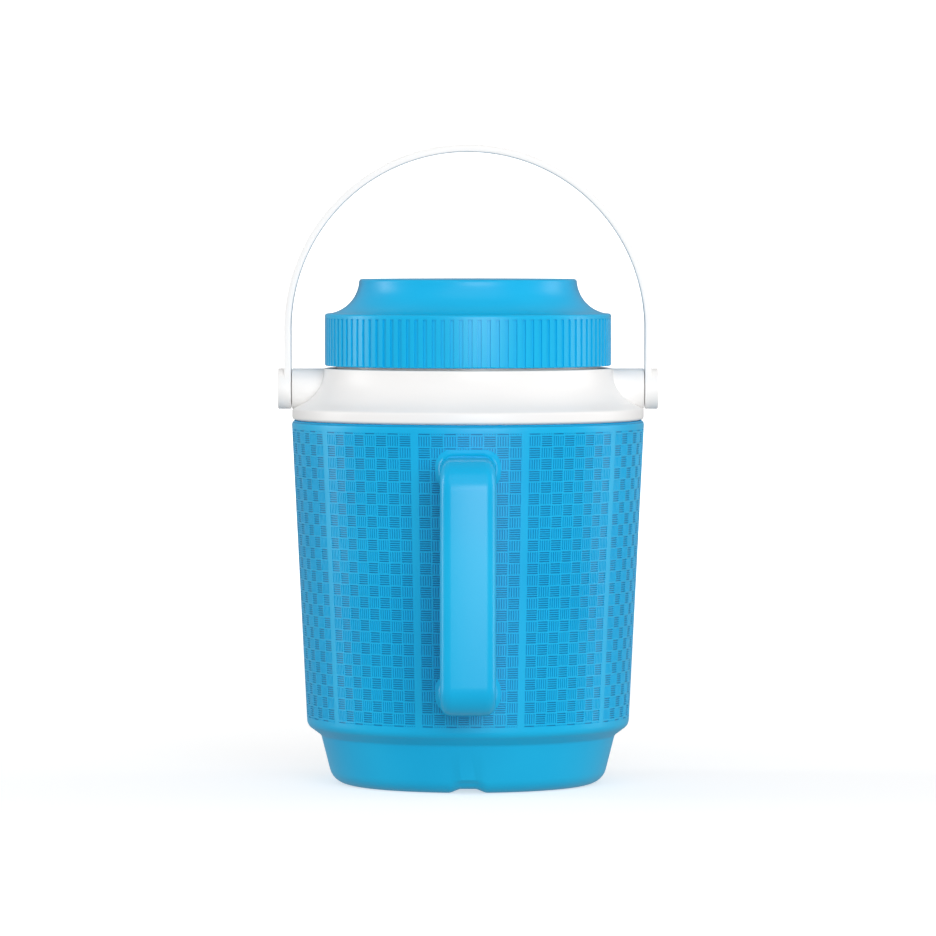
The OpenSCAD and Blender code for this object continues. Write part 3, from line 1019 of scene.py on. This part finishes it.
# %% Model the carry handle
HUB_T = 7.2
HUB_IN = HUB_OUT - HUB_T
STRAP_T = 3.7
STRAP_W = 19.0
STRAP_EDGE = 0.7                  # rounding of its edges
GRIP_T = 4.5                      # thickness of the stretch for the hand
GRIP_HALF = 45.0
ARCH_Z = ARCH_TOP - GRIP_T - HUB_IN

clear_selection()
bpy.ops.mesh.primitive_plane_add(size=1)
strap = start("carry_strap")
bpy.ops.transform.resize(value=(STRAP_T * MM, STRAP_W * MM, 1))
bpy.ops.transform.translate(value=((HUB_IN + STRAP_T / 2) * MM, 0, PIVOT_Z * MM))
bpy.ops.mesh.bevel(offset=STRAP_EDGE * MM, segments=4, affect="VERTICES")
bpy.ops.mesh.select_all(action="SELECT")
bpy.ops.mesh.extrude_region_move(
    TRANSFORM_OT_translate={"value": (0, 0, (ARCH_Z - PIVOT_Z) * MM)})
bpy.ops.mesh.spin(steps=120, angle=math.pi, center=(0, 0, ARCH_Z * MM), axis=(0, 1, 0))
bpy.ops.mesh.extrude_region_move(
    TRANSFORM_OT_translate={"value": (0, 0, -(ARCH_Z - PIVOT_Z) * MM)})
bpy.ops.object.mode_set(mode="OBJECT")
close_up(strap)
print("strap reaches", round(max(v.co.z for v in strap.data.vertices) / MM, 1), "mm")

# %% [markdown]
# ## The stretch for the hand, and the hubs
#
# A thin strap would cut into the hand, so the top of the arch is thicker. Its outer faces are
# picked by their place and pushed outwards, which leaves the small step at each end. The hubs
# are short cylinders. Bevelling a cylinder's two rims first is simpler than rounding them after
# the union, when the strap's edges run into them.

# %% Thicken the stretch for the hand and add the hubs
def on_grip(face):
    """An outer face of the arch above the hand's stretch."""
    at = middle(face)
    reach = math.hypot(at.x, at.z - ARCH_Z)
    return (at.z > ARCH_Z and abs(at.x) < GRIP_HALF and reach > HUB_IN + STRAP_T - 0.1
            and abs(at.y) < STRAP_W / 2 - STRAP_EDGE)


activate(strap)
bpy.ops.object.mode_set(mode="EDIT")
pick(strap, "FACE", on_grip)
bpy.ops.mesh.extrude_region_shrink_fatten(
    TRANSFORM_OT_shrink_fatten={"value": (GRIP_T - STRAP_T) * MM})
bpy.ops.object.mode_set(mode="OBJECT")


def hub(side):
    """The round end of the strap, with a softened outer rim."""
    clear_selection()
    bpy.ops.mesh.primitive_cylinder_add(
        vertices=96, radius=HUB_R * MM, depth=(HUB_OUT - HUB_IN) * MM,
        location=(side * (HUB_OUT + HUB_IN) / 2 * MM, 0, PIVOT_Z * MM),
        rotation=(0, math.pi / 2, 0))
    bpy.ops.object.transform_apply(location=True, rotation=True, scale=True)
    disc = start("hub")
    pick(disc, "EDGE", lambda edge: abs(edge.verts[0].co.x - edge.verts[1].co.x) < 1e-6)
    bpy.ops.mesh.bevel(offset=0.6 * MM, segments=4, affect="EDGES")
    bpy.ops.object.mode_set(mode="OBJECT")
    return disc


for side in (-1, 1):
    disc = hub(side)
    apply_modifier(strap, "BOOLEAN", operation="UNION", solver="EXACT", object=disc)
    bpy.data.objects.remove(disc)
close_up(strap, 0.0005)
settle(strap, "handle", "white_handle", strap_white, "carry_handle")

# %% [markdown]
# ## The lid
#
# The lid is turned as one closed wall: a flat crown with a rounded edge, a hollow flank, a
# skirt, and the inside of the skirt. Spinning it in 200 steps gives one column for each rib and
# one for each gap. The gaps are then inset and pushed in, from just under the skirt's upper
# edge down to its lower edge, which leaves a hundred straight ribs. A hundred copies of one rib
# joined on would look the same, but their ends would have to be fitted into the rounded edge.

# %% Turn the lid and cut its ribs
RIBS = 100
LID_COVE = 18.7                   # the hollow of the flank
LID_COVE_ANGLES = (187, 262)
LID_INSIDE_ANGLES = (258, 189)
CROWN_R = 58.8
SKIRT_TOP = 253.8
LID_WALL = 2.4
LID_BORE = 74.2                   # radius inside the skirt
RIB_TOP = SKIRT_TOP - 2.3
RIB_DEPTH = 0.75
RIB_EDGE = 0.16                   # plain edge round each gap, then the lean of its sides
RIB_SLOPE = 0.12

lid_cove = (CROWN_R + LID_COVE, LID_TOP)
lid_outline = rounded(
    [(0, LID_TOP), (CROWN_R, LID_TOP, 1.6)]
    + arc(lid_cove, LID_COVE, *LID_COVE_ANGLES, 22)
    + [(SKIRT_R, SKIRT_TOP, 1.3), (SKIRT_R, RIB_TOP), (SKIRT_R, SKIRT_LOW, 0.9),
       (LID_BORE, SKIRT_LOW, 0.8), (LID_BORE, SKIRT_TOP - LID_WALL, 0.8)]
    + arc(lid_cove, LID_COVE + LID_WALL, *LID_INSIDE_ANGLES, 12)
    + [(CROWN_R - LID_WALL, LID_TOP - LID_WALL, 1), (0, LID_TOP - LID_WALL)], 6)
lid = turned("screw_lid", lid_outline, 2 * RIBS)


def gap_between_ribs(face):
    """An outer face of the skirt in every second column."""
    at = middle(face)
    column = int((math.degrees(math.atan2(at.y, at.x)) % 360) * RIBS / 180)
    return (column % 2 == 0 and math.hypot(at.x, at.y) > SKIRT_R - 0.55
            and SKIRT_LOW + 0.1 < at.z < RIB_TOP)


activate(lid)
bpy.ops.object.mode_set(mode="EDIT")
pick(lid, "FACE", gap_between_ribs)
bpy.ops.mesh.inset(thickness=RIB_EDGE * MM, depth=0)
bpy.ops.mesh.inset(thickness=RIB_SLOPE * MM, depth=-RIB_DEPTH * MM)
bpy.ops.object.mode_set(mode="OBJECT")
print("faces of the lid:", len(lid.data.polygons))

# %% [markdown]
# ## The thread in the lid
#
# A ridge climbs round the inside of the skirt, two turns of six millimetres each, and runs
# between the turns on the neck. A Screw modifier sweeps its section round the axis while it
# lifts it, where a plain spin would make a ring. The ends are filled, and the ridge is joined to
# the lid with its root buried in the wall.

# %% Sweep the thread
LEAD = 6.0                        # millimetres that the lid climbs in one turn
THREAD_TURNS = 2
THREAD_Z = 232.2
THREAD_CREST = 72.0
CREST_HALF = 0.6                  # half heights of the ridge at its crest and at its root
ROOT_HALF = 1.1
ROOT_BURIED = 0.5

clear_selection()
bpy.ops.mesh.primitive_plane_add(size=1)
ridge = start("lid_thread")
bpy.ops.mesh.delete(type="ONLY_FACE")
bpy.ops.object.mode_set(mode="OBJECT")
thread_root = LID_BORE + ROOT_BURIED
section = [(thread_root, -ROOT_HALF), (THREAD_CREST, -CREST_HALF), (THREAD_CREST, CREST_HALF),
           (thread_root, ROOT_HALF)]
loop = [0, 1, 3, 2]                      # the plane's corners in order round it
for index, (radius, rise) in zip(loop, section):
    ridge.data.vertices[index].co = Vector((radius, 0, THREAD_Z + rise)) * MM
apply_modifier(ridge, "SCREW", angle=TURN, screw_offset=LEAD * MM, iterations=THREAD_TURNS,
               steps=96, render_steps=96, use_merge_vertices=False)
activate(ridge)
bpy.ops.object.mode_set(mode="EDIT")
bpy.ops.mesh.select_mode(type="EDGE")
bpy.ops.mesh.select_all(action="DESELECT")
bpy.ops.mesh.select_non_manifold()
bpy.ops.mesh.fill()
bpy.ops.object.mode_set(mode="OBJECT")
close_up(ridge)
lid = join("screw_lid", [lid, ridge])
settle(lid, "lid", "blue_lid", lid_blue, "lid_shell")

# %% [markdown]
# ## Floor and backdrop
#
# The jug stands in a small studio with a white sweep: the floor's back edge is extruded upwards
# and bevelled widely, so that no line shows between floor and wall. The sweep glows a little,
# and is left out of the light that surfaces throw on each other, because its bounce from below
# would wash out the undersides of the step and of the foot.

# %% Build the sweep
STAGE = 12.0                      # metres along each side of the floor
WALL_H = 7.0
SWEEP_R = 4.5
NEAR = 0.1                        # a point this close to an edge of the floor is on it

clear_selection()
bpy.ops.mesh.primitive_plane_add(size=STAGE)
floor = start("backdrop")
back = STAGE / 2 - NEAR
pick(floor, "EDGE", lambda edge: all(v.co.y > back for v in edge.verts))
bpy.ops.mesh.extrude_region_move(TRANSFORM_OT_translate={"value": (0, 0, WALL_H)})
pick(floor, "EDGE", lambda edge: all(v.co.y > back and v.co.z < NEAR for v in edge.verts))
bpy.ops.mesh.bevel(offset=SWEEP_R, segments=24, affect="EDGES")
bpy.ops.object.mode_set(mode="OBJECT")
bpy.ops.object.shade_smooth()
floor_finish = Finish("pale_floor")
floor_finish.set(Base_Color=(0.6, 0.6, 0.6), Roughness=0.9, Specular_IOR_Level=0.1,
                 Emission_Color=(1, 1, 1), Emission_Strength=0.56)
floor.data.materials.append(floor_finish.material)
floor.visible_diffuse = False
floor.visible_glossy = False
print("sweep:", len(floor.data.polygons), "faces")

# %% [markdown]
# ## Light
#
# A dim white sky fills the recesses. One broad panel beside the camera puts the pale sheen on
# the handle's flat face and down the middle of the shell, and a high one lights the lid and the
# top of the collar. A tall strip on each side keeps the sides of the body from going dull, and
# one more panel behind the jug lights only the wall. Large soft panels suit satin plastic: small
# lamps would leave hard spots on it.

# %% Set the lights
SKY_STRENGTH = 0.43

world = bpy.data.worlds.new("studio")
world.use_nodes = True
background = world.node_tree.nodes["Background"]
background.inputs["Color"].default_value = (1, 1, 1, 1)
background.inputs["Strength"].default_value = SKY_STRENGTH
bpy.context.scene.world = world
bpy.context.scene.view_settings.view_transform = "Standard"


def panel_light(name, azimuth, elevation, distance, size, watts, target=(0, 0, 0.17)):
    """A soft light of a size in metres that faces its target from a distance in metres.

    Azimuth 0 is the camera's side and 90 the right, in degrees. Elevation is above level.
    """
    data = bpy.data.lights.new(name, "AREA")
    data.shape = "RECTANGLE"
    data.size, data.size_y = size
    data.energy = watts
    lamp = bpy.data.objects.new(name, data)
    bpy.context.scene.collection.objects.link(lamp)
    turn, rise = math.radians(azimuth), math.radians(elevation)
    away = Vector((math.sin(turn) * math.cos(rise), -math.cos(turn) * math.cos(rise),
                   math.sin(rise)))
    lamp.location = Vector(target) + away * distance
    lamp.rotation_euler = away.to_track_quat("Z", "Y").to_euler()


panel_light("front_panel", 11, 5, 3.2, (1.8, 1.6), 66)
panel_light("key_panel", 6, 44, 2.9, (3.0, 1.9), 17)
panel_light("left_strip", -97, 6, 1.9, (0.5, 1.6), 16)
panel_light("right_strip", 99, 8, 2.1, (0.8, 1.8), 14)
panel_light("backdrop_panel", 0, 37, 3.5, (9.0, 1.6), 230, (0, 4.8, 0.4))
